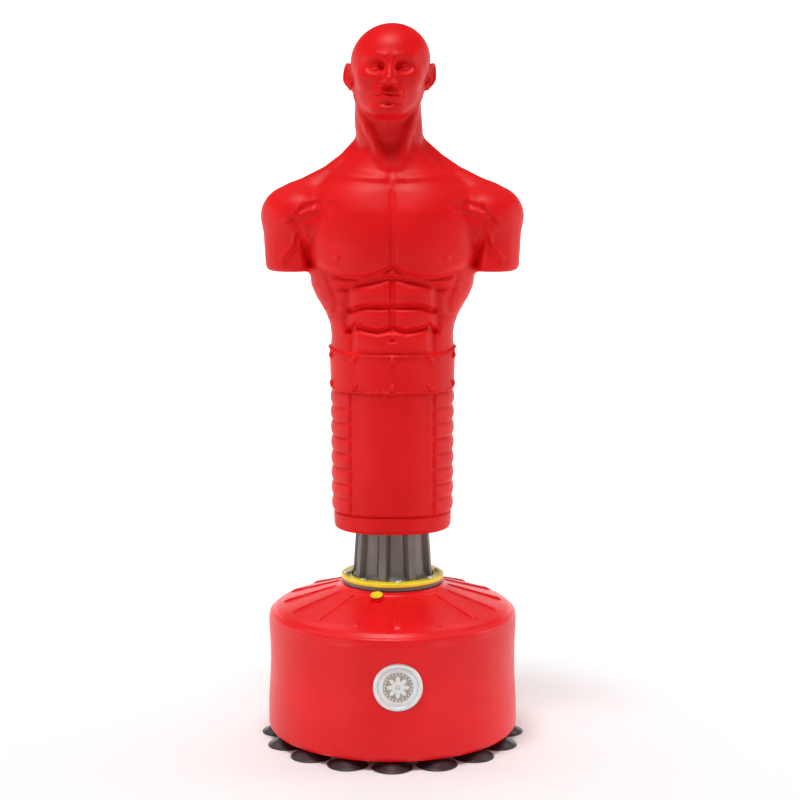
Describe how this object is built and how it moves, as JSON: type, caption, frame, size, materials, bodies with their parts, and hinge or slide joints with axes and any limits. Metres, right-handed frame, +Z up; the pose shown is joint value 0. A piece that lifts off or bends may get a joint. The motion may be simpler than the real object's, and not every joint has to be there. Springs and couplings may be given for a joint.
{
  "type": "free-standing grappling dummy",
  "caption": "Free-standing martial-arts dummy: moulded torso on a flexible rubber column, on a hollow round ballast base with suction cups.",
  "frame": {"origin": "centre of the base's footprint on the floor, under the ring of suction cups", "axes": "+Z up along the torso; the chest faces -Y; +X to the right as seen from the front"},
  "size_m": [0.636, 0.636, 1.7],
  "materials": {
    "red_skin": "satin moulded rubber skin, evenly red",
    "foam": "open-cell foam, hidden inside the skin",
    "red_plastic": "rotomoulded plastic, satin gloss",
    "grey_rubber": "grey-brown moulded rubber with a soft sheen",
    "black_rubber": "dark soft rubber",
    "yellow_paint": "yellow powder coat",
    "yellow_plastic": "yellow moulded plastic",
    "silver_plastic": "pale silver moulded plastic",
    "zinc_steel": "zinc-plated steel",
    "brass_insert": "plain brass"
  },
  "bodies": {
    "base": {"base_tank": "red_plastic", "suction_cup_01": "black_rubber", "suction_cup_02": "black_rubber", "suction_cup_03": "black_rubber", "suction_cup_04": "black_rubber", "suction_cup_05": "black_rubber", "suction_cup_06": "black_rubber", "suction_cup_07": "black_rubber", "suction_cup_08": "black_rubber", "suction_cup_09": "black_rubber", "suction_cup_10": "black_rubber", "suction_cup_11": "black_rubber", "suction_cup_12": "black_rubber", "suction_cup_13": "black_rubber", "suction_cup_14": "black_rubber", "suction_cup_15": "black_rubber", "suction_cup_16": "black_rubber", "flange_gasket": "black_rubber", "clamp_ring": "yellow_paint", "flange_bolt_01": "zinc_steel", "flange_bolt_02": "zinc_steel", "flange_bolt_03": "zinc_steel", "flange_bolt_04": "zinc_steel", "flange_bolt_05": "zinc_steel", "flange_bolt_06": "zinc_steel", "flange_bolt_07": "zinc_steel", "flange_bolt_08": "zinc_steel", "threaded_insert_01": "brass_insert", "threaded_insert_02": "brass_insert", "threaded_insert_03": "brass_insert", "threaded_insert_04": "brass_insert", "threaded_insert_05": "brass_insert", "threaded_insert_06": "brass_insert", "threaded_insert_07": "brass_insert", "threaded_insert_08": "brass_insert", "badge_bezel": "silver_plastic", "badge_disc": "silver_plastic"},
    "column": {"buffer_column": "grey_rubber"},
    "torso": {"column_plate": "zinc_steel", "torso_plate": "zinc_steel", "mount_bolt_01": "zinc_steel", "mount_bolt_02": "zinc_steel", "mount_bolt_03": "zinc_steel", "mount_bolt_04": "zinc_steel", "mount_nut_01": "zinc_steel", "mount_nut_02": "zinc_steel", "mount_nut_03": "zinc_steel", "mount_nut_04": "zinc_steel", "core_tube": "zinc_steel", "foam_core": "foam", "torso_skin": "red_skin"},
    "cap_seal": {"fill_cap_gasket": "black_rubber"},
    "cap": {"fill_cap": "yellow_plastic"}
  },
  "joints": [
    {"name": "lean_forward_back", "type": "hinge", "parent": "base", "child": "column", "pos_m": [0, 0, 0.4345], "axis": [1, 0, 0], "range_deg": [-20, 20], "stiffness_Nm_per_rad": 1100, "deforming": ["buffer_column"]},
    {"name": "lean_side", "type": "hinge", "parent": "column", "child": "torso", "pos_m": [0, 0, 0.5175], "axis": [0, 1, 0], "range_deg": [-20, 20], "stiffness_Nm_per_rad": 1100, "deforming": ["buffer_column"]},
    {"name": "cap_lift", "type": "slide", "parent": "base", "child": "cap_seal", "axis": [-0.0713, -0.2662, 0.9613], "range_m": [0, 0.009]},
    {"name": "cap_turn", "type": "hinge", "parent": "cap_seal", "child": "cap", "pos_m": [-0.03624, -0.13523, 0.3685], "axis": [-0.0713, -0.2662, 0.9613], "range_deg": [0, 1080]}
  ],
  "couplings": [
    {"joint": "cap_lift", "follows": "cap_turn", "m_per_rad": 0.00047746}
  ]
}
